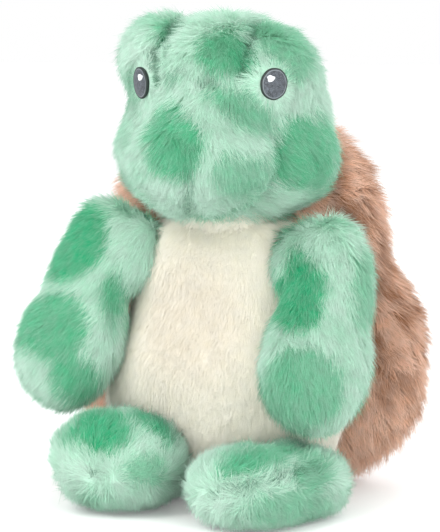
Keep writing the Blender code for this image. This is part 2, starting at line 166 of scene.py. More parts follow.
def frame_from(width_way, up_way, middle):
    """A place whose height runs up a direction and whose width lies nearest to another."""
    up = Vector(up_way).normalized()
    depth = up.cross(Vector(width_way)).normalized()
    width = depth.cross(up)
    return Matrix.Translation(middle) @ Matrix((width, depth, up)).transposed().to_4x4()


def sphere_ways(around, along):
    """Directions over a sphere in rings, and the triangles that join them."""
    ring = np.linspace(0, math.pi, along + 1)[1:-1]
    turn = np.arange(around) * 2 * math.pi / around
    ring, turn = np.meshgrid(ring, turn, indexing="ij")
    ways = np.stack([np.sin(ring) * np.cos(turn), np.sin(ring) * np.sin(turn), np.cos(ring)], -1)
    ways = np.concatenate([[[0, 0, 1]], ways.reshape(-1, 3), [[0, 0, -1]]])
    a = np.arange(around)
    b = (a + 1) % around
    faces = [np.stack([0 * a, 1 + a, 1 + b], 1)]
    for row in range(along - 2):
        top, low = 1 + row * around, 1 + (row + 1) * around
        faces.append(np.stack([top + a, low + a, low + b], 1))
        faces.append(np.stack([top + a, low + b, top + b], 1))
    last = len(ways) - 1
    faces.append(np.stack([last + 0 * a, last - around + b, last - around + a], 1))
    return ways, np.concatenate(faces)


def arm_form(side):
    down, face, middle = ARM_DIRECTIONS[side]
    down = Vector(down).normalized()
    face = Vector(face)
    face = (face - down * face.dot(down)).normalized()
    lobes = [
        ((0, 0, -0.38), (1.0, 1.0, 0.62)),
        ((0, 0, 0.25), (0.82, 0.90, 0.60)),
        ((0, 0, 0.60), (0.66, 0.85, 0.40)),
        ((side * 0.55, -0.20, 0.58), (0.66, 0.80, 0.34)),
    ]
    place = frame_from(face.cross(-down), -down, middle)
    return Form(ARM_HALF_SIZES, lobes, place, LIMB_SQUARENESS)


def leg_form(side):
    half_sizes, (x, y), toe_turn, toe_up = LEG_PLACES[side]
    lobes = [((0, -0.30, 0), (1.0, 0.70, 1.0)), ((0, 0.30, 0), (0.88, 0.75, 0.95))]
    turn = Matrix.Rotation(math.radians(toe_turn), 4, "Z")
    turn = turn @ Matrix.Rotation(math.radians(-toe_up), 4, "X")
    leg = Form(half_sizes, lobes, turn, LIMB_SQUARENESS)
    lowest = leg.net(24, 16)[0][:, 2].min()
    place = Matrix.Translation((x, y, -FOOT_BELOW_FLOOR - lowest)) @ turn
    return Form(half_sizes, lobes, place, LIMB_SQUARENESS)


TORSO = Form(
    (0.042, 0.033, 0.0514),
    [((0, -0.05, -0.28), (1.0, 1.0, 0.74)), ((0, 0.05, 0.42), (0.78, 0.80, 0.58))],
    Matrix.Translation((0, -0.004, 0.0509)),
    2.4,
)
HEAD = Form(
    (0.039, 0.036, 0.0365),
    [
        ((0, 0.14, 0.02), (0.88, 0.86, 0.84)),
        ((0.42, -0.06, -0.34), (0.58, 0.66, 0.48)),
        ((-0.41, -0.06, -0.32), (0.56, 0.66, 0.50)),
        ((0, -0.76, -0.34), (0.62, 0.54, 0.50)),
        ((0, -0.52, 0.04), (0.50, 0.52, 0.40)),
        ((0, -0.14, 0.40), (0.78, 0.70, 0.46)),
        ((0.50, -0.04, 0.50), (0.38, 0.46, 0.38)),
        ((-0.54, -0.04, 0.60), (0.38, 0.44, 0.38)),
        ((0, 0.05, 0.60), (0.56, 0.66, 0.40)),
        ((0, 0.10, -0.66), (0.62, 0.62, 0.36)),
    ],
    Matrix.Translation(HEAD_MIDDLE),
)
SHELL = Form(
    (0.065, 0.023, 0.06875),
    [((0, 0, -0.32), (1.0, 0.90, 0.68)), ((0, 0, 0.20), (0.77, 0.90, 0.78))],
    Matrix.Translation((0, 0.022, 0.06825)) @ Matrix.Rotation(math.radians(3), 4, "X"),
    2.5,
)
ARMS = {side: arm_form(side) for side in (1, -1)}
LEGS = {side: leg_form(side) for side in (1, -1)}
EYE_WAY = (0.70, -0.62, 0.38)
EYE_HALVES = np.array([0.0050, 0.0055])
EYES = {}
for side, _ in SIDES:
    point, normal = HEAD.touch((side * EYE_WAY[0], *EYE_WAY[1:]))
    across = unit(np.cross([0, 0, 1], normal))
    EYES[side] = (point, across, np.cross(normal, across), normal)
JOINTS = {joint["name"]: joint for joint in frame["record"]["behaviour"]["joints"]}


def met_by(joint, forms):
    """The forms as a limb meets them at the start, middle and end of its joint's range."""
    pivot, low, high = Matrix.Translation(joint["pos_m"]), *joint["range_deg"]
    seen = []
    for degrees in (low, (low + high) / 2, high):
        turn = Matrix.Rotation(math.radians(-degrees), 4, Vector(joint["axis"]))
        turn = pivot @ turn @ pivot.inverted()
        seen += [Form(f.half_sizes, f.lobes, turn @ f.place, f.squareness) for f in forms]
    return seen


# The camera, whose picture is the photo's: its size, its scale, the place of the seat's middle.
WIDTH, HEIGHT, PIXELS_PER_METRE = 440, 532, 2780
ORIGIN_X, ORIGIN_Y = 231, 488
TURN, RISE, DISTANCE = math.radians(17.5), math.radians(6.0), 0.9
FOCAL = PIXELS_PER_METRE * DISTANCE
BACK = np.array([math.sin(TURN) * math.cos(RISE), -math.cos(TURN) * math.cos(RISE), math.sin(RISE)])
RIGHT = np.array([math.cos(TURN), math.sin(TURN), 0.0])
UP = np.cross(BACK, RIGHT)
TARGET = RIGHT * ((WIDTH / 2 - ORIGIN_X) / PIXELS_PER_METRE)
TARGET = TARGET + UP * ((ORIGIN_Y - HEIGHT / 2) / PIXELS_PER_METRE)
EYE_POINT = TARGET + BACK * DISTANCE


def in_picture(points):
    """Where world points lie in the camera's picture, in pixels from its upper left corner."""
    away = points - EYE_POINT
    depth = -(away @ BACK)
    across, down = FOCAL * (away @ RIGHT) / depth, FOCAL * (away @ UP) / depth
    return np.stack([WIDTH / 2 + across, HEIGHT / 2 - down], 1)


def linear(text):
    """A colour of hexadecimal digits as the renderer's linear values."""
    values = [int(text[i : i + 2], 16) / 255 for i in (0, 2, 4)]
    return tuple(v / 12.92 if v <= 0.04045 else ((v + 0.055) / 1.055) ** 2.4 for v in values)


# Materials
# The range of most of a noise texture's values.
NOISE_RANGE = (0.3, 0.7)


class Looks:
    """A material's nodes; a value is a node's output, a number or a colour of three numbers."""

    def __init__(self, name):
        self.material = bpy.data.materials.new(name)
        self.material.use_nodes = True
        self.nodes, self.links = self.material.node_tree.nodes, self.material.node_tree.links

    def feed(self, node, inputs):
        for socket, value in inputs.items():
            if hasattr(value, "is_output"):
                self.links.new(value, node.inputs[socket])
            else:
                value = (*value, 1.0) if isinstance(value, tuple) else value
                node.inputs[socket].default_value = value

    def node(self, kind, inputs, output=0, **settings):
        node = self.nodes.new("ShaderNode" + kind)
        for key, value in settings.items():
            setattr(node, key, value)
        self.feed(node, inputs)
        return node.outputs[output]

    def mixed(self, factor, first, second):
        return self.node("Mix", {0: factor, 6: first, 7: second}, 2, data_type="RGBA")

    def ranged(self, value, low, high, to_low, to_high):
        return self.node("MapRange", {0: value, 1: low, 2: high, 3: to_low, 4: to_high})

    def joined(self, operation, first, second):
        return self.node("Math", {0: first, 1: second}, operation=operation)

    def attribute(self, name):
        return self.node("Attribute", {}, "Fac", attribute_name=name)

    def noise(self, scale, detail=3.0):
        place = self.node("TexCoord", {}, "Object")
        return self.node("TexNoise", {"Vector": place, "Scale": scale, "Detail": detail}, "Fac")

    def finished(self, inputs):
        """The material, once its shader's inputs are set."""
        self.feed(self.nodes["Principled BSDF"], inputs)
        return self.material


def pile_material(name, light, dark, crease_shade_colour, root_share, tip, tip_share, shades, mottle, sheen=0.15):
    """Pile: 'patch' picks light or dark, 'along' runs root to tip, and the crease value is 1 where
    shade is painted into a crease.
    """
    looks = Looks(name)
    noise, patch, along = looks.noise(260.0), looks.attribute("patch"), looks.attribute("along")
    roots = [tuple(part * root_share for part in colour) for colour in (light, dark)]
    colour, root = looks.mixed(patch, light, dark), looks.mixed(patch, *roots)
    colour = looks.mixed(looks.ranged(along, 0.0, 0.6, 1.0, 0.0), colour, root)
    colour = looks.mixed(looks.ranged(along, 0.6, 1.0, 0.0, tip_share), colour, tip)
    # Painted shade: in creases and seams the colour darkens towards a deep colour.
    colour = looks.mixed(looks.attribute("crease_shade"), colour, crease_shade_colour)
    shade = looks.ranged(looks.attribute("strand"), 0.0, 1.0, *shades)
    mottled = looks.ranged(noise, *NOISE_RANGE, 1 - mottle, 1 + mottle)
    varied = {
        "Color": colour,
        "Value": looks.joined("MULTIPLY", shade, mottled),
        "Saturation": looks.ranged(noise, *NOISE_RANGE, 0.9, 1.1),
    }
    return looks.finished({
        "Base Color": looks.node("HueSaturation", varied, "Color"),
        "Roughness": looks.ranged(noise, *NOISE_RANGE, 0.62, 0.78),
        "Specular IOR Level": 0.2,
        "Sheen Weight": sheen,
        "Sheen Roughness": 0.45,
        "Sheen Tint": tip,
    })


# Each pile's third colour is the painted shade of its creases and seams.
MINT_PILE = pile_material(
    "mint_pile", light=linear("C3E3D1"), dark=linear("40AC7C"), crease_shade_colour=linear("0F6040"),
    root_share=0.88, tip=linear("DDF3E8"), tip_share=0.26, shades=(0.80, 1.15), mottle=0.05,
)
CREAM_PILE = pile_material(
    "cream_pile", light=linear("F1EEDF"), dark=linear("E7E0D0"), crease_shade_colour=linear("A89C80"),
    root_share=0.98, tip=linear("FAF7EC"), tip_share=0.1, shades=(0.96, 1.04), mottle=0.01,
)
TAN_PILE = pile_material(
    "tan_pile", light=linear("F0C4AA"), dark=linear("96633F"), crease_shade_colour=linear("54301C"),
    root_share=0.5, tip=linear("FCE0CE"), tip_share=0.5, shades=(0.78, 1.18), mottle=0.06,
    sheen=0.2,
)


# Cloth and pile
def mesh_normals(points, faces, rounds=1):
    """Vertex normals of a mesh of triangles, evened out with their neighbours'."""
    a, b, c = (points[faces[:, i]] for i in range(3))
    across = np.cross(b - a, c - a)
    normals = np.zeros_like(points)
    for i in range(3):
        np.add.at(normals, faces[:, i], across)
    normals = unit(normals)
    for _ in range(rounds):
        total = np.zeros_like(points)
        for i in range(3):
            second, third = faces[:, (i + 1) % 3], faces[:, (i + 2) % 3]
            np.add.at(total, faces[:, i], normals[second] + normals[third])
        normals = unit(normals + total / 4)
    return normals


def pressed(form, points, neighbours):
    """Points of a form's skin drawn back to its neighbours, and how far each was drawn back."""
    ways = points - form.middle
    share = np.ones(len(points))
    for neighbour in neighbours:
        low, high = np.zeros(len(points)), np.ones(len(points))
        met = np.zeros(len(points), bool)
        for step in np.linspace(0.1, 1.0, MEETING_STEPS):
            inside = neighbour.holds(form.middle + ways * step, -PRESSED_INTO) & ~met
            high[inside] = step
            met |= inside
            low[~met] = step
        for _ in range(MEETING_HALVINGS):
            middle = (low + high) / 2
            inside = neighbour.holds(form.middle + ways * middle[:, None], -PRESSED_INTO)
            high = np.where(inside, middle, high)
            low = np.where(inside, low, middle)
        share = np.where(met, np.minimum(share, low), share)
    return form.middle + ways * share[:, None], smooth(1 - share, PRESS_STARTS, PRESS_FULL)


class Skin:
    """The cloth under a form's pile: points, triangles, normals and how pressed each point is."""

    def __init__(self, form, grid, depth=CLOTH_DEPTH, neighbours=(), dents=()):
        points, self.faces = form.net(*grid)
        points, self.press = pressed(form, points, neighbours)
        normals = mesh_normals(points, self.faces, 3)
        sink = np.full(len(points), depth)
        for dent in dents:
            sink += dent(points)
        sink = np.minimum(sink, DEEPEST)
        points = points - normals * (sink * (1 - self.press))[:, None]
        points[:, 2] = np.maximum(points[:, 2], LOWEST_CLOTH)
        self.points = points
        self.normals = mesh_normals(points, self.faces, 2)
        self.form = form

    def panel(self, seams, region):
        """The cloth cut along its seam planes, of which the faces in the region stay."""
        bm = bmesh.new()
        normal_layer = bm.verts.layers.float_vector.new("n")
        press_layer = bm.verts.layers.float.new("p")
        verts = []
        rows = zip(self.points.tolist(), self.normals.tolist(), self.press.tolist())
        for point, normal, press in rows:
            vert = bm.verts.new(point)
            vert[normal_layer] = normal
            vert[press_layer] = press
            verts.append(vert)
        for corners in self.faces.tolist():
            bm.faces.new([verts[i] for i in corners])
        for point, plane in seams:
            geometry = [*bm.verts, *bm.edges, *bm.faces]
            cut = dict(plane_co=Vector(point), plane_no=Vector(plane))
            bmesh.ops.bisect_plane(bm, geom=geometry, **cut)
        bmesh.ops.triangulate(bm, faces=bm.faces)
        faces = list(bm.faces)
        inside = region(np.array([face.calc_center_median() for face in faces]))
        outside = [face for face, stays in zip(faces, inside) if not stays]
        bmesh.ops.delete(bm, geom=outside, context="FACES")
        bm.verts.index_update()
        points = np.array([v.co for v in bm.verts]).reshape(-1, 3)
        normals = unit(np.array([v[normal_layer] for v in bm.verts]).reshape(-1, 3))
        press = np.array([v[press_layer] for v in bm.verts])
        faces = [[v.index for v in face.verts] for face in bm.faces]
        rim = [[v.index for v in edge.verts] for edge in bm.edges if edge.is_boundary]
        bm.free()
        faces, rim = np.array(faces, int).reshape(-1, 3), np.array(rim, int).reshape(-1, 2)
        return points, faces, normals, press, rim


def closed_sheet(points, faces, normals, rim):
    """The sheet with its inner side and its edge."""
    count = len(points)
    edges = {tuple(edge) for face in faces.tolist() for edge in zip(face, face[1:] + face[:1])}
    sides = []
    for a, b in rim.tolist():
        if (a, b) not in edges:
            a, b = b, a
        sides += [(b, a, a + count), (b, a + count, b + count)]
    every_point = np.concatenate([points, points - normals * SHEET_THICKNESS])
    sides = np.array(sides, int).reshape(-1, 3)
    every_face = np.concatenate([faces, faces[:, ::-1] + count, sides])
    return every_point, every_face, np.concatenate([normals, -normals])


def sampled(points, faces, values, density, rng):
    """Random places over the triangles, with the values of the points there."""
    a, b, c = (points[faces[:, i]] for i in range(3))
    area = np.linalg.norm(np.cross(b - a, c - a), axis=1) / 2
    count = int(area.sum() * density)
    pick = rng.choice(len(faces), size=count, p=area / area.sum())
    u, v = rng.random(count), rng.random(count)
    flip = u + v > 1
    u[flip], v[flip] = 1 - u[flip], 1 - v[flip]
    shares = np.stack([1 - u - v, u, v], 1)[..., None]
    corners = faces[pick]
    return [(value[corners] * shares).sum(axis=1) for value in (points, *values)]


def nothing(points, *_):
    return np.zeros(len(points))


def everything(points, *_):
    return np.ones(len(points), bool)


# How uneven the pile is: shares by which it strays and varies, and the radians of its swirls and
# of its lean.
UNCOMBED, LENGTH_SPREAD, WIDTH_SPREAD, ASIDE_SPREAD, PRESSED_SHORTER = 0.12, 0.14, 0.2, 0.10, 0.5
SWIRL, LEAN_RIPPLE, LEAN_SPREAD, LEAN_LIMIT = 0.20, 0.05, 0.07, 0.25
SWIRL_SIZE, LEAN_RIPPLE_SIZE = 0.014, 0.009
# The longer strands that stand out of the pile, and the flattest that any strand lies.
LOOSE_SHARE, LOOSE_LONGER, LOOSE_UPRIGHT = 0.03, 1.2, 0.2
FLATTEST = 1.42
# A strand's seven points are left, right, top and tip, then left, right and tip of its under side.
STRAND_FACES = np.array([[5, 4, 6], [0, 2, 3], [2, 1, 3]])
STRAND_ALONG = [0.0, 0.0, 0.0, 1.0, 0.0, 0.0, 1.0]
STRAND_POINTS = len(STRAND_ALONG)


def strands(panel, region, flow, rng, length=0.0068, density=8.1e6, width=0.00024, lean=1.12,
            tuft=7, spread=0.0011, gather=0.15, stray=0.08, tallest=0.0050,
            trim=everything, keep=everything):
    """Pile on a panel: each strand's points, their normals and the strand's own random value.

    A number of strands make a tuft, which spreads over a width, gathers to one tip by a share and
    strays from the flow. The lean is in radians from upright, the density in strands per square
    metre, and no strand stands taller than the tallest.
    """
    points, faces, normals, press, _ = panel
    values = (normals, press[:, None])
    centre, normal, pressing = sampled(points, faces, values, density * SHARE / tuft, rng)
    count = len(centre)
    normal = unit(normal)
    way = flow(centre)
    way = way - normal * (way * normal).sum(1, keepdims=True)
    way = way + UNCOMBED * rng.normal(size=way.shape)
    way = unit(way - normal * (way * normal).sum(1, keepdims=True))
    side = np.cross(normal, way)
    turn = SWIRL * ripple(centre, SWIRL_SIZE, 91) + rng.normal(0, stray, count)
    cos, sin = np.cos(turn)[:, None], np.sin(turn)[:, None]
    way, side = way * cos + side * sin, side * cos - way * sin
    tuft_length = length * np.clip(rng.normal(1.0, 0.05 + stray / 2, count), 0.7, 1.4)
    tuft_length = tuft_length * (1 - PRESSED_SHORTER * pressing[:, 0])
    tuft_lean = rng.normal(0, stray / 2, count)
    tuft_lean = tuft_lean + LEAN_RIPPLE * ripple(centre, LEAN_RIPPLE_SIZE, 92)
    tuft_lean = np.clip(tuft_lean, -LEAN_LIMIT, LEAN_LIMIT)
    tuft_value = rng.random(count)

    index = np.repeat(np.arange(count), tuft)
    total = len(index)
    offset = rng.normal(0, spread, (total, 2))
    own, along, aside = normal[index], way[index], side[index]
    root = centre[index] + along * offset[:, :1] + aside * offset[:, 1:]
    reach = tuft_length[index] * np.clip(rng.normal(1.0, LENGTH_SPREAD, total), 0.6, 1.3)
    loose = rng.random(total) < LOOSE_SHARE
    reach *= np.where(loose, LOOSE_LONGER, 1.0) * trim(root)
    angle = lean + tuft_lean[index] + rng.normal(0, LEAN_SPREAD, total)
    angle = np.minimum(angle - np.where(loose, LOOSE_UPRIGHT, 0.0), FLATTEST)
    angle = np.maximum(angle, np.arccos(np.minimum(tallest / reach, 1.0)))
    along = unit(along + aside * rng.normal(0, ASIDE_SPREAD, (total, 1)))
    ahead = own * np.cos(angle)[:, None] + along * np.sin(angle)[:, None]
    tip = root + ahead * reach[:, None] + (centre[index] - root) * gather
    good = keep(root, (root + tip) / 2, tip) & region(root)
    root, tip, own, value = (x[good] for x in (root, tip, own, tuft_value[index]))
    total = len(root)
    for part in (root, tip):
        part[:, 2] = np.maximum(part[:, 2], LOWEST_PILE)
    ahead = unit(tip - root)
    across = unit(np.cross(ahead, own))
    above = np.cross(across, ahead)
    varied = np.clip(rng.normal(1, WIDTH_SPREAD, total), 0.5, 1.6)
    half = (WIDER * width * varied / 2)[:, None]
    left = root - (across * 0.87 + above * 0.5) * half
    right = root + (across * 0.87 - above * 0.5) * half
    corners = [left, right, root + above * half, tip, left, right, tip]
    tilt = across * 0.35
    under = unit(ahead * 0.8 - above * 0.45 + own * 0.15)
    looks = [unit(own - tilt), unit(own + tilt), unit(own + above * 0.2)]
    looks += [unit(own * 0.85 + ahead * 0.2), under, under, under]
    value = 0.5 * value + 0.5 * rng.random(total)
    return np.stack(corners, 1), np.stack(looks, 1), value


# A strand takes its colour from this far beside it, so that patches fray.
FRAYED = 0.0012


def give_values(mesh, values):
    """Values on a mesh's points, which its material reads."""
    for key, numbers in values.items():
        layer = mesh.attributes.new(key, "FLOAT", "POINT")
        layer.data.foreach_set("value", np.concatenate(numbers).astype(np.float32))


def riding(name, mesh, material, body):
    """The mesh as a piece of the scene that moves with a body."""
    mesh.materials.append(material)
    obj = bpy.data.objects.new(name, mesh)
    bpy.context.scene.collection.objects.link(obj)
    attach(obj, body)
    return obj


def plush(node, body, skin, material, flow, seams, region, patch=nothing, crease_shade=nothing, seed=0,
          **pile):
    """A panel of plush, cloth and pile in one piece, which stands for its CAD node."""
    name = node.removesuffix("_panel") + "_plush"
    rng = np.random.default_rng(seed)
    panel = skin.panel(seams, region)
    corners, looks, value = strands(panel, region, flow, rng, **pile)
    cloth, cloth_faces, cloth_normals = closed_sheet(*panel[:3], panel[4])
    cloth_count, total = len(cloth), len(corners)
    spots = (corners[:, 2] + corners[:, 3]) / 2 + rng.normal(0, FRAYED, (total, 3))
    shade = patch(spots, looks[:, 2])
    base = cloth_count + STRAND_POINTS * np.arange(total)[:, None, None]
    loops = np.concatenate([cloth_faces.ravel(), (base + STRAND_FACES).ravel()])
    sizes = np.full(len(loops) // 3, 3)
    points = np.concatenate([cloth, corners.reshape(-1, 3)])
    mesh = bpy.data.meshes.new(name)
    mesh.vertices.add(len(points))
    mesh.vertices.foreach_set("co", points.astype(np.float32).ravel())
    mesh.loops.add(len(loops))
    mesh.loops.foreach_set("vertex_index", loops.astype(np.int32))
    mesh.polygons.add(len(sizes))
    mesh.polygons.foreach_set("loop_start", (np.cumsum(sizes) - sizes).astype(np.int32))
    mesh.update(calc_edges=True)
    give_values(mesh, {
        "patch": [patch(cloth, cloth_normals), np.repeat(shade, STRAND_POINTS)],
        "along": [np.zeros(cloth_count), np.tile(STRAND_ALONG, total)],
        "strand": [np.full(cloth_count, 0.5), np.repeat(value, STRAND_POINTS)],
        # Painted shade of creases, for the cloth's points and for each strand.
        "crease_shade": [crease_shade(cloth), np.repeat(crease_shade(spots), STRAND_POINTS)],
    })
    places = bake_places(cloth, total, skin.form)[loops]
    layer = mesh.uv_layers.new(name="OFBake")
    layer.data.foreach_set("uv", places.astype(np.float32).ravel())
    mesh.polygons.foreach_set("use_smooth", np.ones(len(sizes), bool))
    normals = np.concatenate([cloth_normals, looks.reshape(-1, 3)])
    mesh.normals_split_custom_set_from_vertices(normals.astype(np.float32))
    obj = riding(name, mesh, material, body)
    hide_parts(node)


# The share of the bake map that the cloth takes, and a strand's seven points in its own cell.
CLOTH_STRIP = 0.1
CELL = [[0.1, 0.1], [0.9, 0.1], [0.5, 0.15], [0.5, 0.9], [0.1, 0.1], [0.9, 0.1], [0.5, 0.9]]


def bake_places(cloth, total, form):
    """A bake map: the cloth in the lowest strip, each strand in a cell of its own above it."""
    flat = form.local(cloth)
    places = np.zeros((len(cloth), 2))
    places[:, 0] = np.arctan2(flat[:, 1], flat[:, 0]) / (2 * math.pi) + 0.5
    places[:, 1] = CLOTH_STRIP * (flat[:, 2] - flat[:, 2].min()) / np.ptp(flat[:, 2])
    rest = 1 - CLOTH_STRIP
    columns = max(1, math.ceil(math.sqrt(total / rest)))
    rows = max(1, math.ceil(total / columns))
    column, row = np.arange(total) % columns, np.arange(total) // columns
    corner = np.stack([column / columns, CLOTH_STRIP + rest * row / rows], 1)
    spots = corner[:, None] + np.array(CELL) * np.array([1 / columns, rest / rows])
    return np.concatenate([places, spots.reshape(-1, 2)])


# Patches of the photographed side: centre, half sizes and turn in the picture, then how deep
# their colour is; 0 is a pale spot.
HEAD_PATCHES = [
    (173, 145, 28, 38, 0, 0.88), (243, 175, 30, 25, -10, 0.64), (306, 154, 33, 42, 14, 0.86),
    (224, 55, 32, 27, 10, 0.84), (238, 62, 12, 16, 10, 0.95), (245, 109, 46, 15, 39, 0.72),
    (280, 38, 33, 19, 20, 0.7), (303, 62, 13, 24, -10, 0.68), (155, 20, 26, 9, -5, 0.45),
    (163, 32, 12, 14, 30, 0.7), (131, 86, 8, 24, 0, 0.62), (122, 126, 10, 24, 0, 0.45),
    (136, 176, 10, 14, 20, 0.35), (170, 76, 9, 5, -20, 0.55), (214, 88, 18, 10, 30, 0.75),
    (160, 192, 20, 14, 10, 0), (136, 50, 16, 18, 0, 0), (290, 100, 26, 12, 0, 0),
    (210, 202, 14, 10, 0, 0),
]
ARM_PATCHES = {
    -1: [
        (76, 242, 30, 44, 38, 1.0), (51, 326, 43, 35, 8, 0.88), (76, 379, 26, 28, 0, 0.88),
        (114, 298, 14, 34, 0, 0.85), (128, 203, 18, 14, 0, 0.45),
    ],
    1: [
        (298, 294, 30, 42, 5, 1.0), (302, 390, 43, 43, 0, 0.72), (290, 380, 18, 26, 0, 0.8),
        (366, 294, 14, 44, 0, 0.62), (334, 218, 28, 12, 10, 0.55), (340, 240, 14, 10, 0, 0.35),
    ],
}
LEG_PATCHES = {
    -1: [
        (98, 430, 36, 23, 0, 1.0), (154, 424, 30, 13, 38, 1.0), (148, 472, 20, 17, 0, 0.6),
        (98, 502, 32, 8, 5, 0.5), (78, 470, 22, 14, 0, 0),
    ],
    1: [
        (262, 455, 56, 16, -13, 0.88), (290, 508, 54, 20, -8, 0.6), (312, 472, 22, 20, 0, 0.66),
        (205, 505, 20, 20, 0, 0),
    ],
}
# Patch values between the patches and of the far side's blotches, whose radii are in radians.
BETWEEN, BETWEEN_RIPPLE, FAR_DEPTH, FAR_RADII = 0.12, 0.10, 0.85, (0.36, 0.58)
# How patches fade at their edges, and how these wobble.
EDGE, FAR_EDGE, WOBBLE, WOBBLE_SIZE = (-0.20, 0.24), (-0.16, 0.14), 0.12, 0.016


def patches(ellipses, middle, seed, count):
    """The patch value of places: ellipses where the camera sees them, blotches on the far side."""
    rng = np.random.default_rng(seed)
    spread = np.arange(count) + 0.5
    polar, turn = np.arccos(1 - 2 * spread / count), math.pi * (1 + 5**0.5) * spread
    ways = np.stack([np.cos(turn) * np.sin(polar), np.sin(turn) * np.sin(polar), np.cos(polar)], 1)
    radii = rng.uniform(*FAR_RADII, count)

    def value(points, normals):
        wobble = ripple(points, WOBBLE_SIZE, seed) * WOBBLE
        spot = in_picture(points)
        seen = np.clip(BETWEEN + BETWEEN_RIPPLE * ripple(points, 0.010, seed + 50), 0, 1)
        for x, y, a, b, degrees, depth in ellipses:
            c, s = math.cos(math.radians(degrees)), math.sin(math.radians(degrees))
            dx, dy = spot[:, 0] - x, spot[:, 1] - y
            u, v = (dx * c + dy * s) / a, (dy * c - dx * s) / b
            near = (1 - np.sqrt(u * u + v * v)) * min(a, b) / 26
            cover = smooth(near + wobble, *EDGE)
            seen = np.maximum(seen, depth * cover) if depth > 0 else seen * (1 - cover)
        way = unit(points - np.array(middle))
        far = (np.arccos(np.clip(way @ ways.T, -1, 1)) - radii).min(axis=1, initial=9.0)
        hidden = FAR_DEPTH * smooth(-far + wobble, *FAR_EDGE)
        facing = smooth(normals @ BACK, -0.15, 0.1)
        return seen * facing + hidden * (1 - facing)

    return value


def seen_at(form, x, y):
    """The point of a form's skin that the camera sees at a place of its picture."""
    points, faces = form.net(160, 110)
    away = np.linalg.norm(in_picture(points) - [x, y], axis=1)
    away[mesh_normals(points, faces) @ BACK < 0.05] = 1e9
    return points[away.argmin()]


def toward(*way):
    """Pile combed one way."""
    way = np.array(way, float)
    return lambda points: np.broadcast_to(way, points.shape)


def close_to(points, line, width, form=HEAD):
    """1 on a line drawn over the front of a form in the picture, 0 some widths away."""
    spot = in_picture(points)
    away = np.full(len(points), 1e3)
    for start, end in zip(line, line[1:]):
        start, step = np.array(start, float), np.subtract(end, start)
        share = np.clip((spot - start) @ step / (step @ step), 0, 1)
        away = np.minimum(away, np.linalg.norm(spot - start - share[:, None] * step, axis=1))
    return np.exp(-((away / width) ** 2)) * smooth((points - form.middle) @ BACK, 0.0, 0.006)


def fold_between(start, end):
    """A crease drawn in along a line between two points of the skin."""
    line = end - start

    def dent(points):
        share = np.clip((points - start) @ line / (line @ line), 0, 1)
        away = np.linalg.norm(points - start - share[:, None] * line, axis=1)
        return 0.0024 * np.exp(-((np.maximum(away - 0.0015, 0) / 0.0016) ** 2))

    return dent


def dimple(middle, sink, spread):
    """A place where the seams' ends pull the form in."""
    return lambda points: sink * np.exp(-(((points - middle) ** 2).sum(1) / spread**2))


# Head
_, HY, HZ = HEAD_MIDDLE
GUSSET_HALF = 0.013
GUSSET_BOTTOM, CHIN_TOP, CHIN_BACK = HZ - 0.006, HZ - 0.023, HY - 0.012
BROW_LINES = [[(183, 10), (168, 35), (153, 52), (157, 80)], [(254, 24), (249, 48), (242, 72)]]


def eye_reach(points, side):
    """How far places are from an eye's middle, as a share of its half sizes."""
    point, across, up, normal = EYES[side]
    away = points - point
    flat = np.stack([away @ across, away @ up], 1)
    reach = np.sqrt(((flat / EYE_HALVES) ** 2).sum(1))
    return np.where(np.abs(away @ normal) < 0.010, reach, 99.0)


def head_flow(points):
    """Down the face and outward over muzzle, cheeks and brows, and away from the eyes."""
    ahead = smooth(points[:, 1], HY + 0.012, HY - 0.008)
    muzzle = smooth(points[:, 2], HZ + 0.006, HZ - 0.006)
    aside = points[:, 0] / 0.030 * (0.55 + 0.75 * muzzle)
    way = np.stack([aside, 0.5 - 1.1 * ahead, np.full(len(points), -0.9)], 1)
    for side, _ in SIDES:
        close = smooth(eye_reach(points, side), 2.6, 1.2)[:, None]
        way = way * (1 - close) + unit(points - EYES[side][0]) * close * 1.2
    return way


def head_trim(points):
    """Shorter pile in the creases, at the eyes and the cheek, longer on the brow and the chin."""
    creases = sum(dent(points) for dent in HEAD_CREASES)
    shares = 1 - 0.5 * smooth(creases, 0.0004, 0.0022)
    shares *= 1 + 0.5 * close_to(points, [(118, 26), (130, 20)], 12.0)
    shares *= 1 - 0.25 * close_to(points, [(116, 150), (126, 186)], 14.0)
    shares *= 1 + 0.35 * smooth(points[:, 2], CHIN_TOP + 0.004, CHIN_TOP - 0.004)
    for side, _ in SIDES:
        shares *= 1 - 0.5 * smooth(eye_reach(points, side), 2.2, 1.0)
    return shares


def head_keep(*places):
    """No pile over the eyes."""
    clear = [eye_reach(points, side) > 1.02 for side, _ in SIDES for points in places]
    return np.all(clear, axis=0)


def raised_at_eyes(points):
    """The cloth comes up under the embroidered eyes."""
    return -0.0006 * sum(smooth(eye_reach(points, side), 2.2, 1.2) for side, _ in SIDES)


def gusset_creases(points):
    """The gusset's side seams, and the deep folds between forehead and brows."""
    seam = 0.0004 * np.exp(-(((np.abs(points[:, 0]) - GUSSET_HALF) / 0.0018) ** 2))
    return seam + 0.0030 * sum(close_to(points, line, 6.0) for line in BROW_LINES)


def cheek_creases(points):
    """The folds between the muzzle and the cheeks."""
    near = np.exp(-(((points[:, 1] - HY + 0.0225) / 0.0026) ** 2))
    low = smooth(points[:, 2], HZ + 0.004, HZ - 0.005) * smooth(np.abs(points[:, 0]), 0.014, 0.021)
    return near * low * 0.0022


def muzzle_seam(points):
    """The seam from under the nose to the mouth."""
    near = np.exp(-((points[:, 0] / 0.0017) ** 2))
    low = smooth(points[:, 2], HZ - 0.006, HZ - 0.012)
    return near * low * smooth(points[:, 1], HY - 0.024, HY - 0.034) * 0.0012


